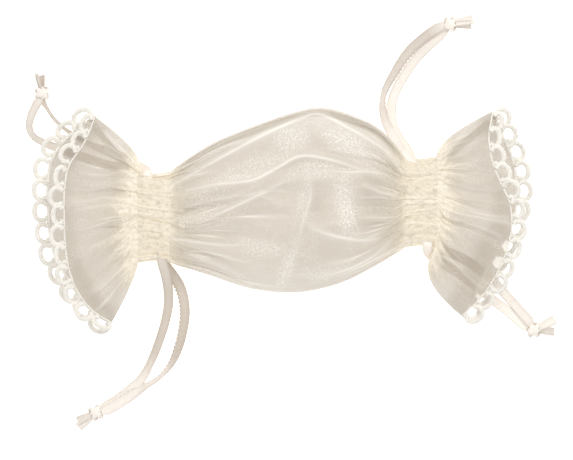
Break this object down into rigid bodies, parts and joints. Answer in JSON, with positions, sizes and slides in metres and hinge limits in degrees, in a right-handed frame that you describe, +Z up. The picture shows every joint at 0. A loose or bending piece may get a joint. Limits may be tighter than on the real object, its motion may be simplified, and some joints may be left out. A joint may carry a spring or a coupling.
{
  "type": "drawstring gift pouch",
  "caption": "Sheer organza gift pouch with a mouth at each end, each gathered at a neck by satin ribbon drawstrings and edged with looped trim.",
  "frame": {"origin": "on the surface that the pouch lies on, under the middle of its fabric and trim", "axes": "+X from the left mouth to the right mouth, +Y across the pouch toward its seamed long side, +Z up from the surface"},
  "size_m": [0.179, 0.1375, 0.0289],
  "materials": {
    "organza": "sheer ivory organza with a fine weave and a soft sheen",
    "gathered_organza": "the same organza in several gathered layers, creamy and nearly opaque",
    "picot_trim": "off-white looped braid, matte",
    "satin_ribbon": "pinkish-white single-face satin with a fine toothed edge",
    "thread": "ivory sewing thread"
  },
  "bodies": {
    "pouch": {"chamber_front": "organza", "chamber_back": "organza", "left_flare_back": "organza", "right_flare_back": "organza", "chamber_seam": "gathered_organza", "left_flare_seam": "gathered_organza", "right_flare_seam": "gathered_organza", "left_casing_strip": "gathered_organza", "right_casing_strip": "gathered_organza", "left_outer_stitch_row": "thread", "left_inner_stitch_row": "thread", "right_outer_stitch_row": "thread", "right_inner_stitch_row": "thread", "left_trim_back": "picot_trim", "right_trim_back": "picot_trim", "left_lower_channel_loop": "satin_ribbon", "left_upper_channel_loop": "satin_ribbon", "right_upper_channel_loop": "satin_ribbon", "right_lower_channel_loop": "satin_ribbon"},
    "left_front_lip": {"left_flare_front": "organza", "left_trim_front": "picot_trim"},
    "right_front_lip": {"right_flare_front": "organza", "right_trim_front": "picot_trim"},
    "left_lower_drawstring": {"left_lower_over_tail": "satin_ribbon", "left_lower_under_tail": "satin_ribbon", "left_lower_knot": "satin_ribbon", "left_lower_cut_ends": "satin_ribbon"},
    "left_upper_drawstring": {"left_upper_over_tail": "satin_ribbon", "left_upper_under_tail": "satin_ribbon", "left_upper_knot": "satin_ribbon", "left_upper_cut_ends": "satin_ribbon"},
    "right_upper_drawstring": {"right_upper_over_tail": "satin_ribbon", "right_upper_under_tail": "satin_ribbon", "right_upper_knot": "satin_ribbon", "right_upper_cut_ends": "satin_ribbon"},
    "right_lower_drawstring": {"right_lower_over_tail": "satin_ribbon", "right_lower_under_tail": "satin_ribbon", "right_lower_knot": "satin_ribbon", "right_lower_cut_ends": "satin_ribbon"}
  },
  "joints": [
    {"name": "left_mouth_open", "type": "hinge", "parent": "pouch", "child": "left_front_lip", "pos_m": [-0.04765, 0.001, 0.0123], "axis": [0, 1, 0], "range_deg": [0, 35]},
    {"name": "right_mouth_open", "type": "hinge", "parent": "pouch", "child": "right_front_lip", "pos_m": [0.05115, 0.006, 0.0123], "axis": [0, -1, 0], "range_deg": [0, 35]},
    {"name": "left_lower_pull", "type": "slide", "parent": "pouch", "child": "left_lower_drawstring", "axis": [0, -1, 0], "range_m": [0, 0.016]},
    {"name": "left_upper_pull", "type": "slide", "parent": "pouch", "child": "left_upper_drawstring", "axis": [0, 1, 0], "range_m": [0, 0.016]},
    {"name": "right_upper_pull", "type": "slide", "parent": "pouch", "child": "right_upper_drawstring", "axis": [0, 1, 0], "range_m": [0, 0.016]},
    {"name": "right_lower_pull", "type": "slide", "parent": "pouch", "child": "right_lower_drawstring", "axis": [0, -1, 0], "range_m": [0, 0.016]}
  ],
  "couplings": [
    {"joint": "left_upper_pull", "follows": "left_lower_pull", "ratio": 1},
    {"joint": "right_upper_pull", "follows": "right_lower_pull", "ratio": 1}
  ]
}
